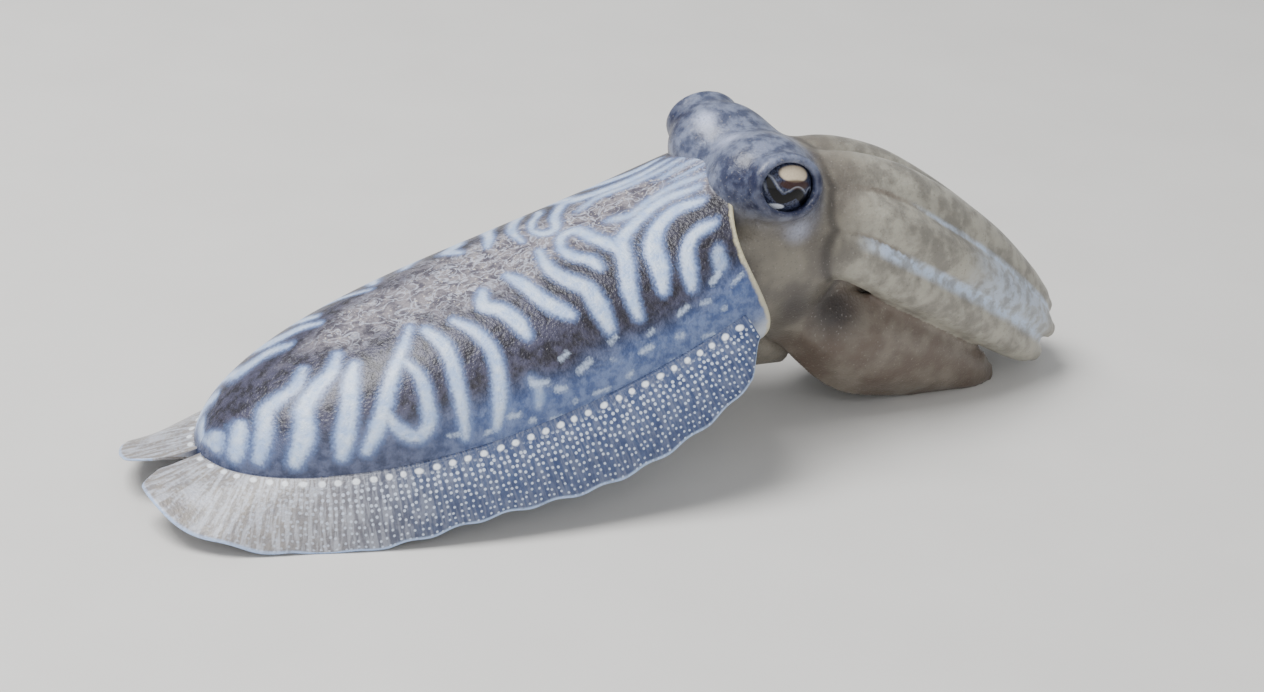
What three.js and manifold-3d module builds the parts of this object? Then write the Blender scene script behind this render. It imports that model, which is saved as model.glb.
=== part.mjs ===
// A common cuttlefish, Sepia officinalis, resting on the sea bed with its head raised.
// It stands on the floor on the underside of its mantle, its fins' rear edges and its lowest arms.
// Units are millimetres, +X towards the head, +Y to the animal's left, +Z up, floor at z = 0.
import * as THREE from "three";
import { mergeVertices } from "three/addons/utils/BufferGeometryUtils.js";
import Module from "manifold-3d";

const wasm = await Module();
wasm.setup();

// Driving dimensions
const MANTLE_LENGTH = 110;
const GAP = 0.3; // between touching pieces
const HALF_WIDTH = 0.25 * MANTLE_LENGTH;
const BACK_HEIGHT = 0.2 * MANTLE_LENGTH; // above the line of the fins
const BELLY_DEPTH = 0.15 * MANTLE_LENGTH; // below the line of the fins
const TAIL_HEIGHT = 9.5; // of the line of the fins at the tail, above the floor
const TAIL_PITCH = 3; // degrees, rising towards the head
const COLLAR_PITCH = 25;
const WIDEST = 0.6; // share of the mantle's length, from the tail
const COLLAR_TIP = 10; // how far the back's point reaches over the nape
const COLLAR_NOTCH = 4; // how far the belly's edge is cut back
const OPENING = { deep: 10, out: 21.5, up: 19.5, down: 14.5 }; // the recess round the neck

const FIN_WIDTH = 0.135 * MANTLE_LENGTH;
const FIN_ROOT = 2.4; // thickness
const FIN_EDGE = 0.8;
const FIN_SINK = 1.6; // how far its root starts inside the mantle

const HEAD_PITCH = -10; // degrees, falling towards the arms
const HEAD_BLEND = 2.4; // how softly the head's rounded forms run together
const EYE = { ahead: 2.6, out: 14.4, above: 21.6 }; // the eyeball's middle, in the head's frame
const EYE_RADII = { along: 7, out: 5.4, up: 6.1 };
const EYE_LIFT = 12; // degrees that the eye looks up
const LID = { along: 6.6, up: 5.2, fold: 1.2, out: 4.1 }; // its ring, and its place on the eyeball
const FUNNEL = { length: 19, root: 6.2, mouth: 4, bore: 2.6, ahead: 4, above: -19 };

const ARM_PITCH = -25;
const CROWN = { ahead: 21, above: 2.4 }; // where the arms leave the head, in the head's frame
const ARM_SPLIT = 0.5; // share of its reach where an arm's tip piece starts
const SUCKERS = 7; // a row, of two rows along each arm
const SUCKER = { rim: 0.95, root: 0.7, sunk: 1, stands: 0.9, apart: 38 }; // apart in degrees

const SIDES = { right: -1, left: 1 };
const RAD = Math.PI / 180;

// Helpers
const clamp = (x, low = 0, high = 1) => Math.min(high, Math.max(low, x));
const mix = (a, b, share) => a + (b - a) * share;
const smooth = (a, b, x) => {
  const share = clamp((x - a) / (b - a));
  return share * share * (3 - 2 * share);
};
const power = (x, n) => Math.sign(x) * Math.abs(x) ** n;

// A smooth line through [place, value] pairs.
const profile = (...pairs) => {
  const line = new THREE.SplineCurve(pairs.map(([x, y]) => new THREE.Vector2(x, y)));
  const spans = pairs.length - 1;
  return (x) => {
    const at = clamp(x, pairs[0][0], pairs[spans][0]);
    const span = Math.min(spans - 1, pairs.findLastIndex(([from]) => from <= at));
    const share = (at - pairs[span][0]) / (pairs[span + 1][0] - pairs[span][0]);
    return line.getPoint((span + share) / spans).y;
  };
};

// A frame tilted up by a pitch in degrees, with its x axis forward.
const frameAt = (origin, pitch) =>
  new THREE.Matrix4()
    .makeRotationY(-pitch * RAD)
    .setPosition(origin.x, origin.y, origin.z);

function solidOf(geometry) {
  const bare = geometry.clone();
  bare.deleteAttribute("normal");
  bare.deleteAttribute("uv");
  const merged = mergeVertices(bare, 1e-3);
  return new wasm.Manifold(
    new wasm.Mesh({
      numProp: 3,
      vertProperties: merged.attributes.position.array,
      triVerts: new Uint32Array(merged.index.array),
    }),
  );
}

function geometryOf(solid) {
  const mesh = solid.getMesh();
  return new THREE.BufferGeometry()
    .setAttribute("position", new THREE.BufferAttribute(mesh.vertProperties, 3))
    .setIndex(new THREE.BufferAttribute(mesh.triVerts, 1));
}

const largest = (solid) =>
  solid.decompose().reduce((most, one) => (one.volume() > most.volume() ? one : most));
const joined = (solids) => solids.reduce((all, one) => all.add(one));

// A round body with a pole at each end: place(along, angle) gives each point, along from 0 to 1.
function rounded(sides, rings, place) {
  const geometry = new THREE.SphereGeometry(1, sides, rings);
  const position = geometry.attributes.position;
  for (let i = 0; i < position.count; i++) {
    const row = Math.floor(i / (sides + 1));
    const column = i % (sides + 1);
    const point = place(row / rings, (((sides - column) % sides) / sides) * 2 * Math.PI);
    position.setXYZ(i, point.x, point.y, point.z);
  }
  return solidOf(geometry);
}

// The same for a thin sheet: place(along, across, face) with face -1 under and 1 on top.
// Both faces are split alike.
function sheet(rows, columns, place) {
  const points = [];
  const index = [];
  const size = (rows + 1) * (columns + 1);
  for (const face of [1, -1])
    for (let i = 0; i <= rows; i++)
      for (let j = 0; j <= columns; j++)
        points.push(...place(i / rows, j / columns, face).toArray());
  const at = (i, j) => i * (columns + 1) + j;
  const quad = (a, b, c, d) => index.push(a, b, c, a, c, d);
  for (let i = 0; i < rows; i++)
    for (let j = 0; j < columns; j++) {
      const [a, b, c, d] = [at(i, j), at(i + 1, j), at(i + 1, j + 1), at(i, j + 1)];
      index.push(a, b, c, a, c, d);
      index.push(size + a, size + c, size + b, size + a, size + d, size + c);
    }
  for (let i = 0; i < rows; i++) {
    quad(at(i, 0), size + at(i, 0), size + at(i + 1, 0), at(i + 1, 0));
    quad(at(i, columns), at(i + 1, columns), size + at(i + 1, columns), size + at(i, columns));
  }
  for (let j = 0; j < columns; j++) {
    quad(at(0, j), at(0, j + 1), size + at(0, j + 1), size + at(0, j));
    quad(at(rows, j), size + at(rows, j), size + at(rows, j + 1), at(rows, j + 1));
  }
  const geometry = new THREE.BufferGeometry()
    .setAttribute("position", new THREE.Float32BufferAttribute(points, 3))
    .setIndex(index);
  const solid = solidOf(geometry);
  return solid.volume() < 0 ? turnedOut(geometry) : solid;
}

function turnedOut(geometry) {
  const index = geometry.index.array;
  for (let i = 0; i < index.length; i += 3)
    [index[i + 1], index[i + 2]] = [index[i + 2], index[i + 1]];
  return solidOf(geometry);
}

// The floor, as a block to cut away what would reach below it
const floor = solidOf(new THREE.BoxGeometry(600, 600, 60).translate(0, 0, -30));
const onFloor = (solid) => largest(solid.subtract(floor));

// Mantle: its axis bends upwards from the tail to the collar
const BEND = (COLLAR_PITCH - TAIL_PITCH) * RAD;
function mantleAxis(share) {
  const pitch = TAIL_PITCH * RAD + BEND * share;
  const radius = MANTLE_LENGTH / BEND;
  return {
    x: radius * (Math.sin(pitch) - Math.sin(TAIL_PITCH * RAD)),
    z: TAIL_HEIGHT + radius * (Math.cos(TAIL_PITCH * RAD) - Math.cos(pitch)),
    pitch,
  };
}
function mantlePoint(share, y, z) {
  const at = mantleAxis(share);
  return new THREE.Vector3(at.x - z * Math.sin(at.pitch), y, at.z + z * Math.cos(at.pitch));
}
// Its half width along its length, as a share of the greatest: blunt behind, a little narrower in front
const TAIL_ROUND = 2.3;
const TAIL_BLUNT = 2.1;
const FRONT_NARROWER = 0.1;
function girth(share) {
  const rear = 1 - (1 - clamp(share / WIDEST)) ** TAIL_ROUND;
  const front = clamp((share - WIDEST) / (1 - WIDEST));
  return rear ** (1 / TAIL_BLUNT) * (1 - FRONT_NARROWER * front ** 2);
}
const collarReach = (angle) =>
  COLLAR_TIP * clamp(Math.sin(angle)) ** 5 - COLLAR_NOTCH * clamp(-Math.sin(angle)) ** 2;

const RIM = 0.9; // share of the rings, from the tail, at which the collar's rim lies
const CLOSER_BEHIND = 1.7; // how much closer the rings lie at the tail
const SQUARER = { side: 0.92, back: 0.92, belly: 0.85 }; // powers under 1 fill the section out
const BACK_TAPER = 1.15;
function mantleSolid(grown = 0) {
  return rounded(28, 28, (ring, angle) => {
    const share = clamp(ring / RIM) ** CLOSER_BEHIND;
    const pole = ring === 0 ? 0 : 1;
    const closing = ring > RIM ? (1 - ring) / (1 - RIM) : pole;
    const size = girth(share);
    const y = (HALF_WIDTH * size + grown) * power(Math.cos(angle), SQUARER.side);
    const up = (BACK_HEIGHT * size ** BACK_TAPER + grown) * power(Math.sin(angle), SQUARER.back);
    const down = (BELLY_DEPTH * size + grown) * power(Math.sin(angle), SQUARER.belly);
    const reach = (collarReach(angle) * smooth(0.75, 1, share)) / MANTLE_LENGTH;
    const z = angle < Math.PI ? up : down;
    const end = (pole - 1) * (grown / MANTLE_LENGTH);
    return mantlePoint(share + reach * closing + end, y * closing, z * closing);
  });
}
const mantleWhole = mantleSolid();
const mantleGrown = mantleSolid(GAP);

// Fins: a sheet along the mantle's side line, round to the tail
const FIN_FRONT = 0.96; // share of the mantle's length
const FIN_STEPS = 24;
const finLine = new THREE.CatmullRomCurve3(
  Array.from({ length: FIN_STEPS + 1 }, (_, i) => {
    const share = FIN_FRONT * (1 - i / FIN_STEPS) ** CLOSER_BEHIND;
    return new THREE.Vector3(share * MANTLE_LENGTH, girth(share) * HALF_WIDTH, 0);
  }),
);
// From the front to the tail: its width as a share of FIN_WIDTH, and how far it hangs, in degrees
const finWidth = profile(
  [0, 0.3], [0.05, 0.72], [0.15, 0.98], [0.3, 1.03], [0.6, 0.95], [0.93, 1.02], [0.985, 0.9], [1, 0.6],
);
const finDroop = profile([0, 60], [0.3, 66], [0.6, 58], [0.85, 30], [1, 6]);
const DROOP_SHARE = { root: 0.5, edge: 0.86 };
const WAVE = { height: 0.9, turns: 2.4 }; // of the fin's edge
function finPoint(along, across, face, side) {
  const base = finLine.getPointAt(along);
  const tangent = finLine.getTangentAt(along);
  const out = new THREE.Vector2(tangent.y, -tangent.x);
  const reach = mix(-FIN_SINK, FIN_WIDTH * finWidth(along), across);
  const droop = finDroop(along) * RAD * mix(DROOP_SHARE.root, DROOP_SHARE.edge, across);
  const wave = WAVE.height * Math.sin(along * WAVE.turns * 2 * Math.PI) * across ** 2;
  const half = (face * mix(FIN_ROOT, FIN_EDGE, clamp(across * 1.3))) / 2;
  const flat = reach * Math.cos(droop);
  const y = Math.max(GAP / 2, base.y + out.y * flat) + out.y * half * Math.sin(droop);
  const z = -reach * Math.sin(droop) + wave * smooth(0, 0.2, along) + half * Math.cos(droop);
  return mantlePoint((base.x + out.x * flat) / MANTLE_LENGTH, side * y, z);
}
const finSolid = (side) =>
  onFloor(
    sheet(38, 5, (along, across, face) => finPoint(along, across, face, side)).subtract(mantleGrown),
  );

// The recess round the neck, in the collar's own frame
const collarFrame = frameAt(mantlePoint(1, 0, 0), COLLAR_PITCH);
const opening = rounded(24, 14, (ring, angle) => {
  const tilt = ring * Math.PI;
  const up = Math.sin(angle) > 0 ? OPENING.up : OPENING.down;
  return new THREE.Vector3(
    -Math.cos(tilt) * OPENING.deep,
    Math.sin(tilt) * Math.cos(angle) * OPENING.out,
    Math.sin(tilt) * Math.sin(angle) * up,
  ).applyMatrix4(collarFrame);
});

// Head: rounded forms that run together, in the head's own frame
const headFrame = frameAt(mantlePoint(1, 0, 0), HEAD_PITCH);
const ball = (x, y, z, rx, ry, rz) => ({
  at: new THREE.Vector3(x, y, z),
  size: new THREE.Vector3(rx, ry, rz),
});
const HEAD_MIDDLE = new THREE.Vector3(7, 0, 9);
const headBalls = [
  ball(-4, 0, -2, 18, 17, 13),
  ball(7.5, 0, 6, 14.5, 15.5, 19),
  ball(2.5, 9, 20, 10.5, 9.4, 9),
  ball(2.5, -9, 20, 10.5, 9.4, 9),
  ball(15.5, 0, 3, 10, 14.5, 19),
];
// About how far a point lies outside a ball, below 0 inside it
function outside({ at, size }, point) {
  const offset = point.clone().sub(at).divide(size);
  const share = offset.length();
  return (share * (share - 1)) / offset.divide(size).length();
}
function outsideHead(point) {
  const near = headBalls.map((one) => Math.exp(-outside(one, point) / HEAD_BLEND));
  return -HEAD_BLEND * Math.log(near.reduce((sum, one) => sum + one));
}
// The head's skin, met from outside along rays towards its middle
function headSolid(grown = 0) {
  return rounded(32, 24, (ring, angle) => {
    const tilt = ring * Math.PI;
    const way = new THREE.Vector3(
      -Math.cos(tilt),
      Math.sin(tilt) * Math.cos(angle),
      Math.sin(tilt) * Math.sin(angle),
    );
    const at = (reach) => HEAD_MIDDLE.clone().addScaledVector(way, reach);
    let far = 50;
    while (outsideHead(at(far - 1)) > grown) far -= 1;
    let near = far - 1;
    for (let step = 0; step < 16; step++) {
      const middle = (near + far) / 2;
      if (outsideHead(at(middle)) > grown) far = middle;
      else near = middle;
    }
    return at(near).applyMatrix4(headFrame);
  });
}

// Eyes and their lids, looking out to a side and a little up
function eyeFrame(side) {
  return new THREE.Matrix4()
    .multiply(headFrame)
    .multiply(new THREE.Matrix4().makeTranslation(EYE.ahead, side * EYE.out, EYE.above))
    .multiply(new THREE.Matrix4().makeRotationX(side * EYE_LIFT * RAD));
}
const eyeball = (side, grown = 0) =>
  solidOf(
    new THREE.SphereGeometry(1, 18, 12)
      .scale(EYE_RADII.along + grown, EYE_RADII.out + grown, EYE_RADII.up + grown)
      .applyMatrix4(eyeFrame(side)),
  );
const lids = (side) =>
  solidOf(
    new THREE.TorusGeometry(LID.along, LID.fold, 8, 22)
      .scale(1, LID.up / LID.along, 1)
      .rotateX(Math.PI / 2)
      .translate(0, side * LID.out, 0)
      .applyMatrix4(eyeFrame(side)),
  );

// Funnel: a short tapered tube under the neck, open at its front
function funnelSolid() {
  const { length, root, mouth, bore } = FUNNEL;
  const outline = [[0, 0], [root * 0.8, 0], [root, length * 0.2], [mouth * 1.15, length * 0.75]];
  const hole = [[mouth, length], [bore, length], [bore * 0.7, length * 0.7], [0, length * 0.66]];
  const points = [...outline, ...hole].map(([x, y]) => new THREE.Vector2(x, y));
  return solidOf(
    new THREE.LatheGeometry(points, 16)
      .rotateZ(-Math.PI / 2)
      .translate(FUNNEL.ahead, 0, FUNNEL.above)
      .applyMatrix4(headFrame),
  );
}

// Arms: four to a side, packed round the crown's axis
const crownPoint = new THREE.Vector3(CROWN.ahead, 0, CROWN.above).applyMatrix4(headFrame);
const crownFrame = frameAt(crownPoint, ARM_PITCH);
// The places of an arm's middle line: ahead along the crown's axis, out to the side and up.
// An arm faces away from the axis at an angle, 0 to the side and 90 straight up.
const ARMS = [
  {
    number: 1, faces: 64, wide: 4.7, thick: 4.4,
    line: [[-13, 3.5, 12], [-4, 5, 17.6], [9, 5.8, 19.7], [20, 5.8, 19], [40, 4.8, 15.2], [65, 3.2, 7]],
  },
  {
    number: 2, faces: 38, wide: 4.9, thick: 4.4,
    line: [[-12, 6.5, 8], [0, 10.6, 13.2], [9, 12.4, 13.6], [19, 12.6, 12.4], [39, 10.4, 9.4], [66, 6.6, 3]],
  },
  {
    number: 3, faces: 6, wide: 5.4, thick: 4.6,
    line: [[-11, 8, 2.5], [3, 13, 5], [14, 13.6, 4.4], [25, 13.2, 3.4], [43, 11, 1.2], [65, 7.2, -2.6]],
  },
  {
    number: 4, faces: -8, wide: 11.5, thick: 4.6,
    line: [[-8, 5.5, -7], [4, 8, -11], [12, 10.4, -12], [20, 10.8, -12], [34, 9.4, -11.2], [57, 5.6, -11.6]],
  },
];
// An arm's thickness along its length, and the width of the lowest pair, which is leaf-like
const taper = profile([0, 0.95], [0.35, 1], [0.7, 0.86], [0.88, 0.66], [0.96, 0.46], [1, 0.25]);
const leaf = profile([0, 0.4], [0.2, 0.72], [0.4, 1], [0.55, 0.94], [0.75, 0.62], [0.93, 0.3], [1, 0.18]);

function armLine(arm, side) {
  const uneven = 1 + 0.012 * side; // the two sides aren't quite alike
  const points = arm.line.map(([ahead, out, up]) =>
    new THREE.Vector3(ahead * uneven, side * out, up).applyMatrix4(crownFrame),
  );
  return new THREE.CatmullRomCurve3(points);
}
// The frame across an arm: the way it faces, and the way round the bundle
function armFrame(arm, side, line, along) {
  const at = line.getPointAt(along);
  const forward = line.getTangentAt(along);
  const face = arm.faces * RAD;
  const out = new THREE.Vector3(0, side * Math.cos(face), Math.sin(face));
  out.transformDirection(crownFrame);
  out.addScaledVector(forward, -out.dot(forward)).normalize();
  const round = new THREE.Vector3().crossVectors(forward, out).multiplyScalar(side);
  return { at, out, round, forward };
}
const INNER = 0.7; // share of its thickness that an arm keeps on its inner side
// How far an arm's skin lies from its middle line: across the way it faces, and round the bundle
function armSection(arm, along, angle, grown) {
  const inner = Math.cos(angle) > 0 ? 1 : INNER;
  const width = arm.number === 4 ? leaf(along) : taper(along);
  return {
    far: (arm.thick * taper(along) * inner + grown) * Math.cos(angle),
    wide: (arm.wide * width + grown) * Math.sin(angle),
  };
}
function armBody(arm, side, grown) {
  const line = armLine(arm, side);
  return rounded(10, 16, (ring, angle) => {
    const along = 0.5 - 0.5 * Math.cos(Math.PI * ring);
    const { at, out, round } = armFrame(arm, side, line, along);
    const end = ring === 0 || ring === 1 ? 0 : 1;
    const { far, wide } = armSection(arm, along, angle, grown);
    return at.clone().addScaledVector(out, far * end).addScaledVector(round, side * wide * end);
  });
}
// Two staggered rows of short cups on the arm's inner side, smaller towards its tip
function suckersOf(arm, side, grown) {
  const line = armLine(arm, side);
  const cups = [];
  for (const row of [-1, 1])
    for (let i = 0; i < SUCKERS; i++) {
      const along = mix(0.24, 0.95, (i + (row > 0 ? 0.45 : 0)) / (SUCKERS - 0.5));
      const { at, out, round } = armFrame(arm, side, line, along);
      const spread = arm.number === 4 ? SUCKER.apart * 0.3 : SUCKER.apart;
      const angle = Math.PI + row * spread * RAD;
      const { far, wide } = armSection(arm, along, angle, 0);
      const skin = out.clone().multiplyScalar(far).addScaledVector(round, side * wide);
      const size = 0.35 + 0.65 * taper(along) ** 2 + 0.06 * Math.sin(5 * i + row);
      const height = SUCKER.sunk + SUCKER.stands * size + grown;
      const cup = new THREE.CylinderGeometry(SUCKER.rim * size + grown, SUCKER.root * size + grown, height, 5);
      cup.translate(0, height / 2 - SUCKER.sunk, 0);
      cup.applyQuaternion(
        new THREE.Quaternion().setFromUnitVectors(new THREE.Vector3(0, 1, 0), skin.clone().normalize()),
      );
      const place = at.clone().add(skin);
      cups.push(solidOf(cup.translate(place.x, place.y, place.z)));
    }
  return cups;
}
const armSolid = (arm, side, grown = 0) => joined([armBody(arm, side, grown), ...suckersOf(arm, side, grown)]);

// The space ahead of a place on the crown's axis, or behind it
function halfSpace(ahead, way) {
  const size = 400;
  return solidOf(
    new THREE.BoxGeometry(size, size, size)
      .translate(ahead + (way * size) / 2, 0, 0)
      .applyMatrix4(crownFrame),
  );
}

const materials = {
  mantle: new THREE.MeshStandardMaterial({ color: 0x8d97a8, roughness: 0.45 }),
  fin: new THREE.MeshStandardMaterial({ color: 0x5f6a7c, roughness: 0.45 }),
  head: new THREE.MeshStandardMaterial({ color: 0x77726c, roughness: 0.4 }),
  eye: new THREE.MeshStandardMaterial({ color: 0x2a2c33, roughness: 0.12 }),
};
const parts = {};
function add(name, solid, material) {
  parts[name] = new THREE.Mesh(geometryOf(solid), materials[material]);
  parts[name].name = name;
}

const headGrown = headSolid(GAP);
add("mantle", onFloor(mantleWhole.subtract(opening).subtract(headGrown)), "mantle");
let head = headSolid();
for (const [name, side] of Object.entries(SIDES)) {
  add(`fin_${name}`, finSolid(side), "fin");
  head = largest(head.add(lids(side)).subtract(eyeball(side, GAP)));
  add(`eye_${name}`, eyeball(side), "eye");
}
add("head", head, "head");
add("funnel", largest(funnelSolid().subtract(headGrown).subtract(mantleGrown.subtract(opening))), "head");
for (const [name, side] of Object.entries(SIDES)) {
  const midline = solidOf(
    new THREE.BoxGeometry(400, 100, 400).translate(0, -side * 50 + (side * GAP) / 2, 0),
  );
  let before = midline.add(headGrown);
  for (const arm of ARMS) {
    const whole = onFloor(largest(armSolid(arm, side).subtract(before)));
    const split = arm.line.at(-1)[0] * ARM_SPLIT;
    const base = largest(whole.intersect(halfSpace(split - GAP / 2, -1)));
    const tip = largest(whole.intersect(halfSpace(split + GAP / 2, 1)));
    add(`arm_${arm.number}_${name}_base`, base, "head");
    add(`arm_${arm.number}_${name}_tip`, tip, "head");
    before = before.add(armSolid(arm, side, GAP));
  }
}

const cuttlefish = new THREE.Group();
cuttlefish.add(...Object.values(parts));
// The origin is the middle of the floor that the whole animal covers.
const extent = new THREE.Box3().setFromObject(cuttlefish);
const centre = extent.getCenter(new THREE.Vector3());
cuttlefish.position.set(-centre.x, -centre.y, -extent.min.z);
export default cuttlefish;
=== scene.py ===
"""A common cuttlefish, Sepia officinalis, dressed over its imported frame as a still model.

Places are in millimetres from the tail's end: +X towards the head, +Y to the animal's left, +Z up,
with the floor at 0. A mesh is turned to metres, and set over the frame, where it is made.
"""

from math import cos, inf, pi, radians, sin

import bpy
import numpy as np
import openvdb
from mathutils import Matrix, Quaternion, Vector, kdtree
from numpy.linalg import norm


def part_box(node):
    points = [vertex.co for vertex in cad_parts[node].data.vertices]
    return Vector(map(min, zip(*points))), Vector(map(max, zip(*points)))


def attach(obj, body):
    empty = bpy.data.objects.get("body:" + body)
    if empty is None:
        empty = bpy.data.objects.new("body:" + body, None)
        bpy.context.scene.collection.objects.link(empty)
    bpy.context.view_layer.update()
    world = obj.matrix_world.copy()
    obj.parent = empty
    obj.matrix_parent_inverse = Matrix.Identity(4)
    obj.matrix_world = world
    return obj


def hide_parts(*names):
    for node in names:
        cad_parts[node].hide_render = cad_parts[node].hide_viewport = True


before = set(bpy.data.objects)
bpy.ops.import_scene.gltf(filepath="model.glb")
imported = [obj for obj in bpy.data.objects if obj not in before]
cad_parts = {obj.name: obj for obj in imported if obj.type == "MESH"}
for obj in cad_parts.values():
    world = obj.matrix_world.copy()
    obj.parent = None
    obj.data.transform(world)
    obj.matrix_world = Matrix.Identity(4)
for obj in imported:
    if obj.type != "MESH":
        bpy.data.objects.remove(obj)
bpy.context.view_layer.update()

MM = 0.001
RIGHT, LEFT = -1, 1
CLEARANCE = 0.02  # between the skins and the floor

# The frame's own driving dimensions
MANTLE_LENGTH = 110
HALF_WIDTH = 0.25 * MANTLE_LENGTH
BACK_HEIGHT = 0.2 * MANTLE_LENGTH  # above the line of the fins
BELLY_DEPTH = 0.15 * MANTLE_LENGTH  # below the line of the fins
TAIL_HEIGHT = 9.5  # of the line of the fins at the tail, above the floor
TAIL_PITCH = 3  # degrees, rising towards the head
COLLAR_PITCH = 25
WIDEST = 0.6  # share of the mantle's length, from the tail
COLLAR_TIP = 10  # how far the back's point reaches over the nape
COLLAR_NOTCH = 4  # how far the belly's edge is cut back
HEAD_PITCH = -10  # degrees, falling towards the arms
ARM_PITCH = -25
TAIL_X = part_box("mantle")[0].x / MM  # where the tail's end lies in the frame


# Helpers
def smooth(low, high, value):
    share = clamp((value - low) / (high - low))
    return share * share * (3 - 2 * share)


def clamp(value):
    return np.clip(value, 0, 1)


def mix(a, b, share):
    return a + (b - a) * share


def around(count):
    return np.linspace(0, 2 * pi, count, endpoint=False)


def signed_power(value, power):
    return np.sign(value) * np.abs(value) ** power


def near(points, middle, radii):
    """1 at a place, falling softly to 0 at an ellipsoid round it."""
    return smooth(1, 0, norm((points - middle) / radii, axis=-1))


def inside(points, low, high):
    return np.flatnonzero(np.all((points > low) & (points < high), axis=1))


def cubic(start, end, leaving, arriving, t):
    """A cubic from start to end as t goes from 0 to 1, with its slope at each end."""
    steep = (2 * start - 2 * end + leaving + arriving) * t**3
    return steep + (-3 * start + 3 * end - 2 * leaving - arriving) * t**2 + leaving * t + start


def profile(*pairs):
    """A smooth line through (place, value) pairs."""
    places, values = np.array(pairs, float).T
    last = len(pairs) - 1

    def at(x):
        x = np.clip(x, places[0], places[-1])
        span = np.clip(np.searchsorted(places, x, side="right") - 1, 0, last - 1)
        t = (x - places[span]) / (places[span + 1] - places[span])
        p0, p1, p2, p3 = (values[np.clip(span + k, 0, last)] for k in (-1, 0, 1, 2))
        return cubic(p1, p2, (p2 - p0) / 2, (p3 - p1) / 2, t)

    return at


def smooth_line(points, count):
    """Evenly spaced places on the smooth line through some points, and how far along each is."""
    points = np.array(points, float)
    before = 2 * points[0] - points[1]
    after = 2 * points[-1] - points[-2]
    guides = np.concatenate([[before], points, [after]])
    share = np.linspace(0, 1, 40, endpoint=False)[:, None]
    runs = []
    for i in range(len(points) - 1):
        p0, p1, p2, p3 = guides[i : i + 4]
        d0, d1, d2 = (max(norm(b - a), 1e-6) ** 0.5 for a, b in ((p0, p1), (p1, p2), (p2, p3)))
        leaving = d1 * ((p1 - p0) / d0 - (p2 - p0) / (d0 + d1) + (p2 - p1) / d1)
        arriving = d1 * ((p2 - p1) / d1 - (p3 - p1) / (d1 + d2) + (p3 - p2) / d2)
        runs.append(cubic(p1, p2, leaving, arriving, share))
    line = np.concatenate(runs + [points[-1:]])
    length = np.concatenate([[0], np.cumsum(norm(np.diff(line, axis=0), axis=1))])
    even = np.linspace(0, length[-1], count)
    return np.stack([np.interp(even, length, line[:, k]) for k in range(line.shape[1])], 1), even


class Frame:
    def __init__(self, origin, axes):
        self.origin = np.array(origin, float)
        self.axes = np.array(axes, float)

    def world(self, local):
        return self.origin + np.asarray(local, float) @ self.axes

    def local(self, world):
        return (world - self.origin) @ self.axes.T


def frame_at(origin, pitch):
    """A frame tilted up by a pitch in degrees, with its x axis forward."""
    c, s = cos(radians(pitch)), sin(radians(pitch))
    return Frame(origin, [[c, 0, s], [0, 1, 0], [-s, 0, c]])


def tube(rings, first, last):
    """Places and faces of rings of points, each end closed to a point."""
    rings = np.array(rings)
    count, sides = rings.shape[:2]
    i, j = np.meshgrid(np.arange(count - 1), np.arange(sides), indexing="ij")
    after = (j + 1) % sides
    quads = [i * sides + j, i * sides + after, (i + 1) * sides + after, (i + 1) * sides + j]
    faces = np.stack(quads, -1).reshape(-1, 4).tolist()
    start, base = count * sides, (count - 1) * sides
    for j in range(sides):
        after = (j + 1) % sides
        faces.append([start, after, j])
        faces.append([start + 1, base + j, base + after])
    return np.concatenate([rings.reshape(-1, 3), [first], [last]]), faces


def add_object(name, data):
    made = bpy.data.objects.new(name, data)
    bpy.context.scene.collection.objects.link(made)
    return made


def add_attributes(mesh, attributes):
    """Gives the vertices values that a material reads by name."""
    for key, values in attributes.items():
        values = np.asarray(values, np.float32)
        kind, field = ("FLOAT", "value") if values.ndim == 1 else ("FLOAT_VECTOR", "vector")
        mesh.attributes.new(key, kind, "POINT").data.foreach_set(field, values.ravel())


def make_object(name, vertices, faces, attributes, material):
    """A smooth-shaded mesh from places in millimetres, with its attributes."""
    mesh = bpy.data.meshes.new(name)
    mesh.from_pydata((vertices + (TAIL_X, 0, 0)) * MM, [], faces)
    add_attributes(mesh, attributes)
    mesh.polygons.foreach_set("use_smooth", [True] * len(mesh.polygons))
    mesh.materials.append(material)
    mesh.update()
    return add_object(name, mesh)


def places_of(mesh):
    """A mesh's places in millimetres."""
    flat = np.empty(len(mesh.vertices) * 3, np.float32)
    mesh.vertices.foreach_get("co", flat)
    return flat.reshape(-1, 3).astype(float) / MM - (TAIL_X, 0, 0)


# Mantle: its axis bends upwards from the tail to the collar
BEND = radians(COLLAR_PITCH - TAIL_PITCH)
BEND_RADIUS = MANTLE_LENGTH / BEND
TAIL_SLOPE = radians(TAIL_PITCH)
TAIL_FULLNESS = 2.3
TAIL_ROUNDNESS = 2.1
COLLAR_NARROWING = 0.1
COLLAR_START = 0.75  # share of its length where the back's point and the belly's notch begin
BACK_TAPER = 1.15  # how much faster its height falls than its width
UPPER_POWER = 0.92  # below 1, a section is fuller than an ellipse
BELLY_POWER = 0.85
MANTLE_SIDES = 256
MANTLE_SHARES = [(row / 210) ** 1.35 for row in range(1, 211)]  # of its length, closer at the tail
LIP = 0.55  # radius of the collar's rolled edge
LIP_TURNS = range(30, 181, 30)  # degrees round it
RECESS_ROWS = 14  # inside the collar, a millimetre apart
RECESS_CLOSES = 4.5  # how far the recess closes in on the neck
RECESS_SLOPE = 11  # and over what depth
RECESS_END = 16
INNER_EDGE = 3.0  # where the inner skin starts, counted on from the collar's edge


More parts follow.
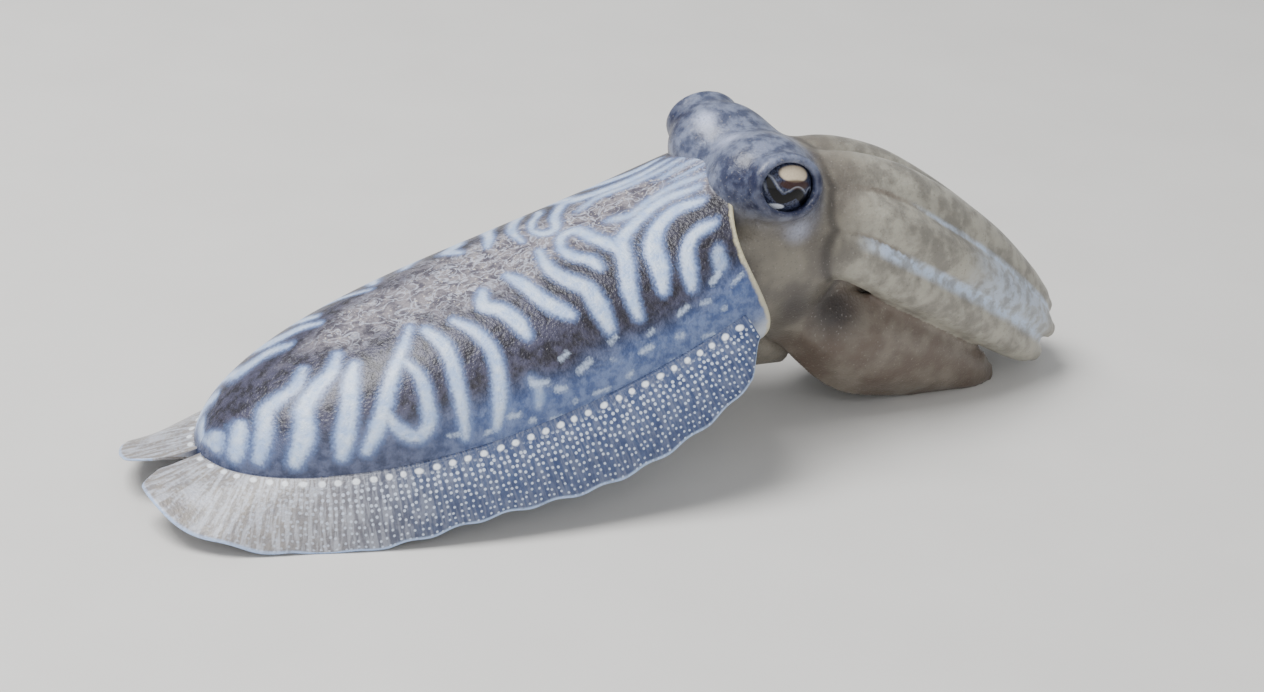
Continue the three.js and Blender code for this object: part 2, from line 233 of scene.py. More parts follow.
def mantle_point(share, y, z):
    """A place at a share of the mantle's length, beside and above its bent axis."""
    pitch = TAIL_SLOPE + BEND * share
    x = BEND_RADIUS * (np.sin(pitch) - sin(TAIL_SLOPE))
    up = TAIL_HEIGHT + BEND_RADIUS * (cos(TAIL_SLOPE) - np.cos(pitch))
    return np.stack(np.broadcast_arrays(x - z * np.sin(pitch), y, up + z * np.cos(pitch)), -1)


def girth(share):
    """How full the mantle is, from 0 at the tail to 1 where it is widest."""
    rear = 1 - (1 - clamp(share / WIDEST)) ** TAIL_FULLNESS
    front = clamp((share - WIDEST) / (1 - WIDEST))
    return rear ** (1 / TAIL_ROUNDNESS) * (1 - COLLAR_NARROWING * front**2)


def collar_reach(angle, share):
    """How much further forward the collar lies at an angle, as a share of the mantle's length."""
    up, down = clamp(np.sin(angle)), clamp(-np.sin(angle))
    return (COLLAR_TIP * up**5 - COLLAR_NOTCH * down**2) * smooth(COLLAR_START, 1, share) / MANTLE_LENGTH


def mantle_section(share, angle, inward=0.0):
    """The mantle's skin, at a share of its length and an angle round it."""
    size = girth(share)
    y = (HALF_WIDTH * size - inward) * signed_power(np.cos(angle), UPPER_POWER)
    up = (BACK_HEIGHT * size**BACK_TAPER - inward) * signed_power(np.sin(angle), UPPER_POWER)
    down = (BELLY_DEPTH * size - inward) * signed_power(np.sin(angle), BELLY_POWER)
    return mantle_point(share + collar_reach(angle, share), y, np.where(np.sin(angle) > 0, up, down))


def mantle_mesh():
    """The mantle's skin, rolled in at the collar, with each place's share, angle and gap to the edge."""
    angle = around(MANTLE_SIDES)
    # where a row lies, how far inward, and the share and gap given for it
    rows = [(share, 0, share, (1 - share) * MANTLE_LENGTH) for share in MANTLE_SHARES]
    for turn in np.radians(LIP_TURNS):
        rows.append((1 + LIP * sin(turn) / MANTLE_LENGTH, LIP * (1 - cos(turn)), 1, -LIP * turn))
    for step in range(1, RECESS_ROWS + 1):
        inward = 2 * LIP + RECESS_CLOSES * smooth(0, RECESS_SLOPE, step)
        rows.append((1 - step / MANTLE_LENGTH, inward, 1, -INNER_EDGE - step))
    rings = [mantle_section(at, angle, inward) for at, inward, _, _ in rows]
    ends = mantle_point(0, 0, 0), mantle_point(1 - RECESS_END / MANTLE_LENGTH, 0, 0)
    vertices, faces = tube(rings, *ends)
    _, _, shares, edges = np.array(rows).T
    share = np.append(np.repeat(shares, MANTLE_SIDES), [0, 1])
    angles = np.append(np.tile(angle, len(rings)), [pi / 2] * 2)
    edge = np.append(np.repeat(edges, MANTLE_SIDES), [MANTLE_LENGTH, -INNER_EDGE - RECESS_END])
    return vertices, faces, share, angles, edge


def flank_height(share, angle):
    """How far round the section, in millimetres, a point lies from the line of the fins."""
    steps = np.linspace(0, pi / 2, 40)
    shares = np.linspace(0, 1, 60)
    row = clamp(share) * (len(shares) - 1)
    column = np.abs(np.arcsin(np.clip(np.sin(angle), -1, 1))) / steps[1]
    i = np.minimum(row.astype(int), len(shares) - 2)
    j = np.minimum(column.astype(int), len(steps) - 2)

    def height(sign):
        table = []
        for each in shares:
            line = mantle_section(each, sign * steps)
            table.append(np.append(0, np.cumsum(norm(np.diff(line, axis=0), axis=1))))
        table = np.array(table)
        behind = mix(table[i, j], table[i, j + 1], column - j)
        before = mix(table[i + 1, j], table[i + 1, j + 1], column - j)
        return mix(behind, before, row - i)

    return np.where(np.sin(angle) >= 0, height(1), -height(-1))


# Fins: a sheet along the mantle's side line, round to the tail
FIN_WIDTH = 0.12 * MANTLE_LENGTH  # a little less than the frame's, as in the photo
FIN_FRONT = 0.96  # share of the mantle's length
FIN_SINK = 1.6  # how far its root starts inside the mantle
FIN_ROOT = 2.2  # thickness
FIN_EDGE = 0.5
FIN_LIP = 0.05  # half the thickness that is left at its very edge
FIN_LIFT = 0.3  # how much higher its upper face comes to rest on the floor
FIN_SLIT = 0.15  # half the gap between the two fins behind the tail
FIN_DROOPS = (0.5, 0.86)  # shares of its droop at the root and at the edge
FIN_WAVE, FIN_WAVES = 0.9, 2.4  # height, and how many along a fin
FIN_RIPPLE, FIN_RIPPLES = 0.35, 13
FIN_ROWS = 300
FIN_COLUMNS = 26
# From its front to its rear end: share of its full width, and degrees that it droops
fin_width = profile(
    (0, 0.33), (0.05, 0.78), (0.15, 1.03), (0.3, 1.05), (0.6, 0.98),
    (0.8, 1), (0.93, 1.15), (0.985, 1), (1, 0.66),
)
fin_droop = profile((0, 60), (0.3, 66), (0.6, 68), (0.78, 60), (0.9, 32), (1, 6))


def settle(height, rest, soft=0.35):
    """A height that comes to rest softly on the floor."""
    return rest + soft * np.logaddexp(0, (height - rest) / soft)


def fin_root():
    """The line where the fin leaves the mantle, seen from above, with its length and direction."""
    shares = FIN_FRONT * (1 - np.arange(0, 400, 4) / 399) ** 1.7
    root, length = smooth_line(np.stack([shares * MANTLE_LENGTH, girth(shares) * HALF_WIDTH], 1), 500)
    way = np.gradient(root, axis=0)
    return root, length, way / norm(way, axis=1)[:, None]


def fin_mesh(side):
    """A fin, with each place's distance from the tail along it, its reach, and the share of its width."""
    root, length, ways = fin_root()
    # out over the upper face, round the thin edge and back under
    across = np.linspace(0, 1, FIN_COLUMNS + 1) ** 0.9
    share = np.concatenate([across, across[::-1]])
    face = np.repeat([1.0, -1.0], FIN_COLUMNS + 1)
    thickness = mix(FIN_ROOT, FIN_EDGE, clamp(share * 1.3))
    half = face * thickness / 2 * smooth(1.0, 0.985, share) + face * FIN_LIP
    sheet, marks = [], []
    for along in np.linspace(0, 1, FIN_ROWS + 1):
        at = [np.interp(along * length[-1], length, root[:, k]) for k in (0, 1)]
        way = np.array([np.interp(along * length[-1], length, ways[:, k]) for k in (0, 1)])
        way = way / norm(way)
        out = np.array([way[1], -way[0]])
        out *= 1 if out[1] > 0 or along > 0.98 else -1
        reach = mix(-FIN_SINK, FIN_WIDTH * fin_width(along), share)
        droop = np.radians(fin_droop(along) * mix(*FIN_DROOPS, share))
        wave = FIN_WAVE * np.sin(along * FIN_WAVES * 2 * pi) * share**2 * smooth(0, 0.2, along)
        ripple = FIN_RIPPLE * np.sin(along * 2 * pi * FIN_RIPPLES + 1.3 * side)
        ripple = ripple * share**3 * smooth(0, 0.1, along)
        flat = reach * np.cos(droop)
        y = np.maximum(FIN_SLIT, at[1] + out[1] * flat) + out[1] * half * np.sin(droop)
        z = -reach * np.sin(droop) + wave + ripple + half * np.cos(droop)
        points = mantle_point((at[0] + out[0] * flat) / MANTLE_LENGTH, side * y, z)
        points[:, 2] = settle(points[:, 2], CLEARANCE + np.where(face > 0, FIN_LIFT, 0.0))
        sheet.append(points)
        marks.append(np.stack([np.full(len(face), (1 - along) * length[-1]), reach, share], 1))
    vertices, faces = tube(sheet, sheet[0].mean(axis=0), sheet[-1].mean(axis=0))
    return vertices, faces, np.concatenate(marks + [marks[0][:1], marks[-1][:1]])


# Head: rounded forms that run together, in a frame at the collar's middle
HEAD = frame_at(mantle_point(1, 0, 0), HEAD_PITCH)
HEAD_BALLS = [
    ((-4, 0, -2), (18, 17, 13)),
    ((7.5, 0, 6), (14.5, 15.5, 19)),
    ((2.5, 9, 20), (10.5, 9.4, 9)),
    ((2.5, -9, 20), (10.5, 9.4, 9)),
    ((15.5, 0, 3), (10, 14.5, 19)),
]
HEAD_BLEND = 2.4  # how softly they run together
EYE = (2.6, 14.4, 21.6)
EYE_RADII = np.array((7, 5.4, 6.1))
EYE_LIFT = 12  # degrees that the eye looks up
EYE_GAP = 0.12  # between the eye and its socket
EYE_OPENING = (5.9, 4.8)  # half the width and height between the lids
OPENING_FROM = 1  # how far out from the eye's middle it starts
OPENING_BLEND = 0.8
LID_ALONG = 6.6
LID_UP = 5.2
LID_FOLD = 1.2
LID_OUT = 4.1
LID_SUNK = 0.6  # how much deeper the skin's lids lie than the frame's
LID_BLEND = 4.0
FUNNEL_AT = (4, 0, -19)
FUNNEL_LENGTH = 19
FUNNEL_ROOT = 6.2
FUNNEL_MOUTH = 4
FUNNEL_BORE = 2.6
FUNNEL_FLOOR = 0.66  # share of its length where the bore ends
FUNNEL_BACK = 8  # how far its rounded root reaches back under the neck
FUNNEL_BLEND = 2.5


def eye_frame(side):
    lift = radians(side * EYE_LIFT)
    turn = np.array([[1, 0, 0], [0, cos(lift), sin(lift)], [0, -sin(lift), cos(lift)]])
    return Frame(HEAD.world((EYE[0], side * EYE[1], EYE[2])), turn @ HEAD.axes)


def outside_ball(points, middle, radii):
    """How far points lie outside an ellipsoid, below 0 inside."""
    offset = (points - middle) / radii
    share = norm(offset, axis=-1)
    return share * (share - 1) / np.maximum(norm(offset / radii, axis=-1), 1e-6)


def blended(a, b, width):
    """The nearer of two distances, run together over a width."""
    step = np.maximum(width - np.abs(a - b), 0) / width
    return np.minimum(a, b) - step * step * width / 4


def head_distance(points):
    """How far points lie outside the head, with its lids and the openings between them."""
    local = HEAD.local(points)
    total = sum(np.exp(-outside_ball(local, *ball) / HEAD_BLEND) for ball in HEAD_BALLS)
    found = -HEAD_BLEND * np.log(total)
    for side in (RIGHT, LEFT):
        eye = eye_frame(side).local(points)
        along, out, up = eye[..., 0], side * eye[..., 1], eye[..., 2]
        ring = np.hypot(along / LID_ALONG, up / LID_UP)
        from_ring = np.hypot(along, up) * (1 - 1 / np.maximum(ring, 1e-6))
        lid = np.hypot(from_ring, out - (LID_OUT - LID_SUNK)) - LID_FOLD
        found = blended(found, lid, LID_BLEND)
        wide, high = EYE_OPENING
        opening = (np.hypot(along / wide, up / high) - 1) * high
        opening = np.maximum(opening, OPENING_FROM - out)
        found = -blended(-found, opening, OPENING_BLEND)
    return found


def funnel_distance(points):
    """How far points lie outside the funnel, a tapered tube with a rounded root."""
    local = HEAD.local(points) - FUNNEL_AT
    along = local[..., 0]
    off_axis = np.hypot(local[..., 1], local[..., 2])
    radius = mix(FUNNEL_ROOT, FUNNEL_MOUTH, clamp(along / FUNNEL_LENGTH))
    wall = np.hypot(off_axis, np.minimum(along + FUNNEL_BACK, 0)) - radius
    wall = np.maximum(wall, along - FUNNEL_LENGTH)
    bore = np.maximum(off_axis - FUNNEL_BORE, FUNNEL_LENGTH * FUNNEL_FLOOR - along)
    return np.maximum(wall, -bore)


# Arms: four to a side, packed round the crown's axis
CROWN = frame_at(HEAD.world((21, 0, 2.4)), ARM_PITCH)
# For each: degrees that its outer face looks up, half its width and half its thickness
ARM_SIZES = [(64, 5.5, 4.4), (38, 4.9, 4.4), (6, 5.4, 4.6), (-8, 11.5, 4.6)]
# Their lines in the crown's frame, as places ahead, out and up
ARM_LINES = [
    [(-13, 3.5, 12), (-4, 5, 17.6), (9, 5.8, 19.7), (20, 5.8, 19), (40, 4.8, 15.2), (65, 3.2, 7)],
    [(-12, 6.5, 8), (0, 10.6, 13.2), (9, 12.4, 13.6), (19, 12.6, 12.4), (39, 10.4, 9.4), (66, 6.6, 3)],
    [(-11, 8, 2.5), (3, 13, 5), (14, 13.6, 4.4), (25, 13.2, 3.4), (43, 11, 1.2), (65, 7.2, -2.6)],
    [(-8, 5.5, -7), (4, 8, -11), (12, 10.4, -12), (20, 10.8, -12), (34, 9.4, -11.2), (57, 5.6, -11.6)],
]
LEAF_ARM = 4  # the lowest arm, a broad leaf that thins to a keel at its lower edge
KEEL = 0.5  # share of its thickness that is left there
INNER = 0.7  # how flat an arm's inner side is
STRETCH = 0.012  # how much further the left arms reach than the middle, and the right ones less
BLUNTNESS = 1.2
ARM_STEPS = 260
# Along an arm: shares of its thickness and, on the leaf, of its width
taper = profile((0, 0.95), (0.35, 1), (0.7, 0.93), (0.88, 0.8), (0.96, 0.62), (1, 0.4))
leaf = profile((0, 0.4), (0.2, 0.72), (0.4, 1), (0.55, 0.98), (0.75, 0.78), (0.93, 0.46), (1, 0.28))


class Arm:
    """One arm's middle line and its sections."""

    def __init__(self, number, side):
        faces, wide, thick = ARM_SIZES[number - 1]
        line = [(ahead * (1 + STRETCH * side), side * out, up) for ahead, out, up in ARM_LINES[number - 1]]
        self.number = number
        self.line, length = smooth_line([CROWN.world(place) for place in line], ARM_STEPS)
        self.length = length[-1]
        self.share = length / length[-1]
        self.ahead = CROWN.local(self.line)[:, 0]
        forward = np.gradient(self.line, axis=0)
        self.forward = forward / norm(forward, axis=1)[:, None]
        face = radians(faces)
        out = np.array((0, side * cos(face), sin(face))) @ CROWN.axes
        out = out - (self.forward @ out)[:, None] * self.forward
        self.out = out / norm(out, axis=1)[:, None]
        self.round = np.cross(self.forward, self.out) * side
        self.far = thick * taper(self.share)
        self.across = wide * (leaf(self.share) if number == LEAF_ARM else taper(self.share))

    def look(self, share, table):
        """What a table holds at a share of the arm's length."""
        if table.ndim == 1:
            return np.interp(share, self.share, table)
        return np.stack([np.interp(share, self.share, table[:, k]) for k in range(3)], -1)

    def section_of(self, points):
        """Share of its length, and the offsets facing out, round the bundle and past its ends."""

        def offsets(*tables):
            offset = points - self.look(share, self.line)
            return [np.einsum("...i,...i", offset, self.look(share, table)) for table in tables]

        share = np.interp(CROWN.local(points)[..., 0], self.ahead, self.share)
        for _ in range(3):
            share = clamp(share + offsets(self.forward)[0] / self.length)
        return share, *offsets(self.out, self.round, self.forward)

    def distance(self, points):
        share, out, across, past = self.section_of(points)
        far = self.look(share, self.far) * np.where(out > 0, 1, INNER)
        wide = self.look(share, self.across)
        if self.number == LEAF_ARM:
            far = far * mix(1, KEEL, smooth(0.3, 1, np.abs(across) / wide))
        past = past / np.minimum(far, wide) * BLUNTNESS
        offset = np.stack([out / far, across / wide, past], -1)
        size = norm(offset, axis=-1)
        slope = np.sqrt((offset[..., 0] / far) ** 2 + (offset[..., 1] / wide) ** 2 + (past / far) ** 2)
        return size * (size - 1) / np.maximum(slope, 1e-6)


arms = [Arm(number, side) for side in (RIGHT, LEFT) for number in (1, 2, 3, 4)]
WEB = ((7, 0, -1.5), (16, 10.5, 14))  # the flesh inside the ring of arms, in the crown's frame
ARM_BLEND = 2.3
WEB_BLEND = 1.5
CROWN_BLEND = 3.5
# The grid that the skin is taken from, and the room round each form where its distance is worked out
VOXEL = 0.55
GRID_LOW = np.array((80, -27, -1))
GRID_HIGH = np.array((192, 27, 67))
HEAD_ROOM = ((-26, -26, -inf), (32, 26, inf))
FUNNEL_ROOM = ((-18, -inf, -inf), (28, inf, -4))
ARM_ROOM = 9
LEAF_ROOM = 16
EYE_ROOM = 14
FAR = 6.0  # the most that a distance is counted as


def head_mesh():
    """The skin of the head, funnel and arms, run together as one."""
    counts = np.ceil((GRID_HIGH - GRID_LOW) / VOXEL).astype(int)
    axes = [low + VOXEL * np.arange(count) for low, count in zip(GRID_LOW, counts)]
    points = np.stack(np.meshgrid(*axes, indexing="ij"), -1).reshape(-1, 3)
    local, crown = HEAD.local(points), CROWN.local(points)
    head = np.full(len(points), FAR)
    close = inside(local, *HEAD_ROOM)
    head[close] = np.minimum(head_distance(points[close]), FAR)
    bundle = np.full(len(points), FAR)
    for arm in arms:
        share = np.interp(crown[:, 0], arm.ahead, arm.share)
        offset = points - arm.look(share, arm.line)
        room = LEAF_ROOM if arm.number == LEAF_ARM else ARM_ROOM
        close = np.flatnonzero(norm(offset, axis=1) < room)
        bundle[close] = blended(bundle[close], np.minimum(arm.distance(points[close]), FAR), ARM_BLEND)
    bundle = blended(bundle, np.minimum(outside_ball(crown, *WEB), FAR), WEB_BLEND)
    found = blended(head, bundle, CROWN_BLEND)
    close = inside(local, *FUNNEL_ROOM)
    found[close] = blended(found[close], np.minimum(funnel_distance(points[close]), FAR), FUNNEL_BLEND)
    for side in (RIGHT, LEFT):
        eye = eye_frame(side).local(points)
        close = np.flatnonzero(norm(eye, axis=1) < EYE_ROOM)
        socket = outside_ball(eye[close], (0, 0, 0), EYE_RADII + EYE_GAP)
        found[close] = np.maximum(found[close], -socket)
    found = np.maximum(found, CLEARANCE - points[:, 2])
    grid = openvdb.FloatGrid(FAR)
    grid.copyFromArray(found.reshape(counts).astype(np.float32))
    places, triangles, quads = grid.convertToPolygons(isovalue=0.0, adaptivity=0.0)
    return places.astype(float) * VOXEL + GRID_LOW, triangles.tolist() + quads.tolist()


# Pale bands on the flank: width at each end, brightness, and the line along its middle, in
# millimetres from the tail and up from the line of the fins
BANDS = [
    (1.4, 1.2, 0.7, [(1.5, 4), (3, 9)]),
    (1.5, 1.3, 0.9, [(4, 3.5), (5.5, 8), (6.8, 12)]),
    (1.9, 1, 0.9, [(7.5, 4), (9.8, 10), (11.5, 15), (14, 17.5), (18, 20.5), (21, 25)]),
    (2.9, 1.1, 1, [(13.3, 4), (16.3, 10), (17.8, 15), (21.5, 19.5), (25, 22.5), (28, 27)]),
    (2.6, 1.6, 1, [(21.5, 5), (23.5, 10), (25.8, 15), (27.8, 20), (29.8, 23.5)]),
    (2.2, 0.8, 1, [(26, 5.5), (29.5, 10), (32.5, 14.8), (35.5, 19.2), (39, 23.5), (43, 29)]),
    (1.8, 1.6, 0.85, [(31.5, 12), (32.7, 8.6), (35.6, 6.4), (38.3, 8), (39.6, 13), (40, 17.5), (39, 21)]),
    (1.3, 2.2, 0.95, [(44.6, 4), (45.5, 10), (46.1, 14), (47, 19), (47, 23), (45.5, 27)]),
    (2, 1.4, 1, [(50.8, 4), (52.6, 8), (54.3, 13), (55.2, 18), (54, 23), (51.5, 27)]),
    (1.6, 1, 0.5, [(59.8, 5), (60.8, 8), (60, 10.5)]),
    (2.6, 1.8, 1, [(63, 18.5), (62.6, 21.5), (61, 25.5), (58.5, 28), (60, 31.5)]),
    (2.4, 1.6, 1, [(73, 18.5), (71, 21.3), (69.3, 24.5), (68.3, 28.5), (66.5, 33)]),
    (3.2, 1.3, 0.9, [(78.8, 13), (79, 18), (78.8, 22), (76.5, 25.5), (74.6, 30), (75.4, 36)]),
    (1.3, 1.3, 1, [(79.3, 33.5), (80.6, 30), (83, 27.3), (83.6, 24.8)]),
    (1.4, 1.4, 1, [(79.3, 33.5), (81.5, 37), (84.5, 37), (86, 32.5), (87.6, 29), (88.8, 25.5)]),
    (2.3, 1.4, 1, [(85.2, 12.5), (86, 17), (88.2, 22.5), (89.8, 28), (93, 30.5), (98, 32.6), (104, 31.5)]),
    (2.7, 1.4, 1.2, [(92.2, 14.5), (93.4, 18), (94, 23.5), (96.2, 27), (99.5, 28.6), (104, 27.5)]),
    (2.3, 1.5, 1, [(97.8, 12), (98.8, 16), (99.8, 19), (102, 21), (106, 20.8)]),
    (1, 0.9, 0.8, [(90.2, 34.8), (93, 33.2), (97, 34.6), (101, 35), (105.5, 33.8)]),
    (0.8, 0.7, 0.7, [(100, 38), (104, 37.2), (107.5, 37.4)]),
    (2.2, 1.8, 0.55, [(105, 12), (105.5, 15.5)]),
]
WIDER = 0.55  # how much the bands' soft edges add to each side
BAND_ROOM = 6  # how far round a band its distance is worked out
NO_BAND = 9.0  # the distance given where no band or dash is close
# Short pale dashes lower down: where each lies along, then up
DASHES = [
    (68, 12), (78.4, 10.7), (86, 8.5), (84, 6), (91.3, 5), (97, 1.8), (77, 7.3), (72.6, 2.5), (83, 0.3),
    (71, 8.6), (67, 3), (107, 8.4), (101.9, 5.1), (61.4, 9.1), (57.8, 2.7), (62.8, 1.2), (88, 1.4), (94, 9),
    (79, 3), (103, 11), (49, 3.5), (42.5, 5), (99, 8), (65, 6.5), (54.5, 5),
]


def band_distance(along, up, shift):
    """How far outside the nearest band a place lies, and how bright that is. A shift bends them all."""
    along = along + shift * (1.6 * np.sin(0.16 * along + 0.8) + 1.1 * np.sin(0.21 * up + 0.05 * along + 2))
    up = up + shift * (1.5 * np.sin(0.12 * along + 2.1))
    places = np.stack([along, up], 1)
    best = np.full(len(places), NO_BAND)
    bright = np.zeros(len(places))
    for start, end, strength, points in BANDS:
        line, length = smooth_line(points, 40)
        share = length / length[-1]
        half = mix(start, end, share) / 2 * np.minimum(1, 0.45 + 3 * np.minimum(share, 1 - share))
        close = inside(places, line.min(0) - BAND_ROOM, line.max(0) + BAND_ROOM)
        gap = np.hypot(along[close, None] - line[:, 0], up[close, None] - line[:, 1]) - half - WIDER
        gap = gap.min(axis=1)
        wins = gap < best[close]
        best[close[wins]] = gap[wins]
        bright[close[wins]] = strength
    return best, bright


def dash_distance(along, up, shift):
    """How far outside the nearest dash a place lies. No two dashes are alike."""
    along = along + shift * (1.9 + 1.5 * np.sin(0.3 * up + 1))
    best = np.full(len(along), NO_BAND)
    for index, (at, height) in enumerate(DASHES):
        long = 0.9 + 0.7 * sin(3 * index)
        tilt = 0.35 * sin(7 * index + 1)
        turned = (along - at) + tilt * (up - height)
        over = np.maximum(np.abs(turned) - long, 0)
        gap = np.hypot(over, up - height - tilt * turned) - 0.42 - 0.15 * sin(5 * index)
        best = np.minimum(best, gap)
    return best


# Materials
def linear(red, green, blue):
    """The shaders' colour for a colour given as display values from 0 to 255."""
    parts = [value / 255 for value in (red, green, blue)]
    return (*[p / 12.92 if p <= 0.04045 else ((p + 0.055) / 1.055) ** 2.4 for p in parts], 1)


class Paint:
    """One material and the nodes that colour it. A tuple stands for a colour, from 0 to 255."""

    def __init__(self, name, **sockets):
        self.material = bpy.data.materials.new(name)
        self.material.use_nodes = True
        self.tree = self.material.node_tree
        self.shader = self.tree.nodes["Principled BSDF"]
        for socket, value in sockets.items():
            self.shader.inputs[socket.replace("_", " ")].default_value = value

    def node(self, kind, inputs, output=0, **settings):
        made = self.tree.nodes.new("ShaderNode" + kind)
        for key, value in settings.items():
            setattr(made, key, value)
        for key, value in inputs.items():
            if isinstance(value, bpy.types.NodeSocket):
                self.tree.links.new(value, made.inputs[key])
            else:
                made.inputs[key].default_value = linear(*value) if isinstance(value, tuple) else value
        return made.outputs[output]

    def math(self, operation, *values):
        return self.node("Math", dict(enumerate(values)), operation=operation)

    def add(self, a, b):
        return self.math("ADD", a, b)

    def times(self, a, b):
        return self.math("MULTIPLY", a, b)

    def power(self, a, b):
        return self.math("POWER", a, b)

    def sway(self, value, noise, most):
        """A value moved up or down by noise."""
        return self.add(value, self.times(self.add(noise, -0.5), most))

    def step(self, value, low, high, start=0.0, end=1.0):
        """From start to end as a value passes from low to high."""
        inputs = {0: value, 1: low, 2: high, 3: start, 4: end}
        return self.node("MapRange", inputs, interpolation_type="SMOOTHSTEP")

    def mix(self, a, b, share):
        return self.node("Mix", {0: share, 6: a, 7: b}, 2, data_type="RGBA")

    def mottled(self, noise, colours, low=0.35, high=0.65):
        """From a dark to a pale colour as noise passes from low to high."""
        return self.mix(*colours, self.step(noise, low, high))

    def over(self, base, *layers):
        """Colours laid over a base in turn, each by a share from 0 to 1."""
        for layer, share in layers:
            base = self.mix(base, layer, share)
        return base

    def attribute(self, name):
        return self.node("Attribute", {}, "Fac", attribute_name=name)

    def axes(self, name):
        """The three parts of a vector attribute."""
        vector = self.node("Attribute", {}, "Vector", attribute_name=name)
        return list(self.node("SeparateXYZ", {0: vector}).node.outputs)

    def plane(self, x, y):
        return self.node("CombineXYZ", {0: x, 1: y, 2: 0.0})

    def place(self):
        """Where a point of the skin lies, in millimetres."""
        at = self.node("TexCoord", {}, "Object")
        return self.node("VectorMath", {0: at, 3: 1 / MM}, operation="SCALE")

    def noise(self, at, size, detail=2.0, roughness=0.5, warp=0.0):
        inputs = {"Vector": at, "Scale": 1 / size, "Detail": detail, "Roughness": roughness}
        return self.node("TexNoise", inputs | {"Distortion": warp}, "Fac")

    def cells(self, at, size, randomness):
        """How far a point of a plane lies from the middle of its cell."""
        inputs = {"Vector": at, "Scale": 1 / size, "Randomness": randomness}
        return self.node("TexVoronoi", inputs, "Distance", voronoi_dimensions="2D")

    def finish(self, base, height, depth):
        """Links a colour and a relief of a depth in millimetres."""
        self.tree.links.new(base, self.shader.inputs["Base Color"])
        inputs = {"Height": height, "Distance": depth * MM, "Strength": 1.0}
        self.tree.links.new(self.node("Bump", inputs, "Normal"), self.shader.inputs["Normal"])
        return self.material


WET = {"Roughness": 0.38, "Specular_IOR_Level": 0.45, "Coat_Weight": 0.25, "Coat_Roughness": 0.22}
FLESH = {"Subsurface_Weight": 0.12, "Subsurface_Radius": (0.003, 0.0022, 0.0018), "Subsurface_Scale": 1.0}

# Colours of the mantle and fins, in pairs where a patch is mottled
GROUND = (32, 29, 39), (70, 69, 90)
SADDLE = (30, 26, 34)
BACK = (84, 80, 92), (142, 136, 142)
BACK_THREADS = (196, 200, 216)
BACK_SPECKS = (208, 200, 190)
FLANK = (70, 90, 138), (112, 130, 172)
BAND_HALO = (108, 130, 178)
BAND_CORE = (166, 192, 234), (214, 229, 250)
DASH = (196, 212, 238)
BELLY = (198, 204, 214)
COLLAR_RIM = (206, 198, 166)
COLLAR_INSIDE = (92, 84, 80)
WEB_DARK = (48, 56, 82), (76, 86, 112)
WEB_BLUE = (60, 88, 146)
WEB_REAR = (120, 122, 134), (160, 150, 136)
WEB_STREAKS = (196, 200, 212)
WEB_DOTS = (206, 216, 234)
ROOT_SPOTS = (240, 245, 252)
WEB_RIM = (176, 202, 246)
DOTS_APART = 1.2
SPOTS_APART = 3.1  # the row of larger spots along the fin's root
SPOTS_OUT = 0.8  # how far out of the mantle their middles lie


def flank_paint(skin, along, up, noises):
    """The dark ground of the mantle's sides, its grey-brown speckled back, and the bluer flank."""
    step, times, mottled = skin.step, skin.times, skin.mottled
    fine, lumps, broad = noises
    saddle = times(step(along, 62, 84), step(up, 8, 14))
    threads = skin.math("ABSOLUTE", skin.add(skin.noise(skin.place(), 3.4, warp=1.4), -0.5))
    back = skin.over(
        mottled(lumps, BACK, 0.36, 0.62),
        (BACK_THREADS, times(step(threads, 0.05, 0.0), 0.75)),
        (BACK_SPECKS, step(fine, 0.62, 0.72)),
    )
    low = times(step(skin.sway(up, broad, 6), 13, 5), step(along, 30, 55, 0.35, 1.0))
    return skin.over(
        mottled(lumps, GROUND),
        (SADDLE, times(saddle, 0.5)),
        (back, step(skin.sway(up, broad, 14), 26, 35)),
        (mottled(lumps, FLANK), low),
    )


def web_paint(skin, noises):
    """The fins: a fine grid of pale dots, a row of larger spots along the root, and a pale edge."""
    add, step, times, power = skin.add, skin.step, skin.times, skin.power
    _, lumps, broad = noises
    along, reach, across = skin.axes("fin")
    streaks = skin.noise(skin.plane(along, times(reach, 0.14)), 0.7)
    dots = skin.cells(skin.plane(along, reach), DOTS_APART, 0.5)
    dots = step(skin.math("SUBTRACT", dots, step(across, 0.1, 1.0, 0.27, 0.17)), 0.08, -0.08)
    dotted = times(step(reach, 1.0, 2.2), step(along, 5, 45, 0.25, 0.9))
    from_spot = skin.math("PINGPONG", add(along, times(broad, 2.5)), SPOTS_APART / 2)
    ring = skin.math("SQRT", add(power(times(from_spot, 0.85), 2.0), power(add(reach, -SPOTS_OUT), 2.0)))
    return skin.over(
        skin.mottled(lumps, WEB_DARK, 0.3, 0.7),
        (WEB_BLUE, step(along, 30, 62, 0.0, 0.25)),
        (skin.mix(*WEB_REAR, lumps), step(along, 48, 14)),
        (WEB_STREAKS, times(step(streaks, 0.42, 0.62), step(along, 56, 10, 0.12, 0.7))),
        (WEB_DOTS, times(dots, dotted)),
        (ROOT_SPOTS, step(add(ring, times(lumps, 0.3)), 0.9, 0.5)),
        (WEB_RIM, times(step(across, 0.955, 0.99), step(lumps, 0.3, 0.55, 0.55, 0.95))),
    )


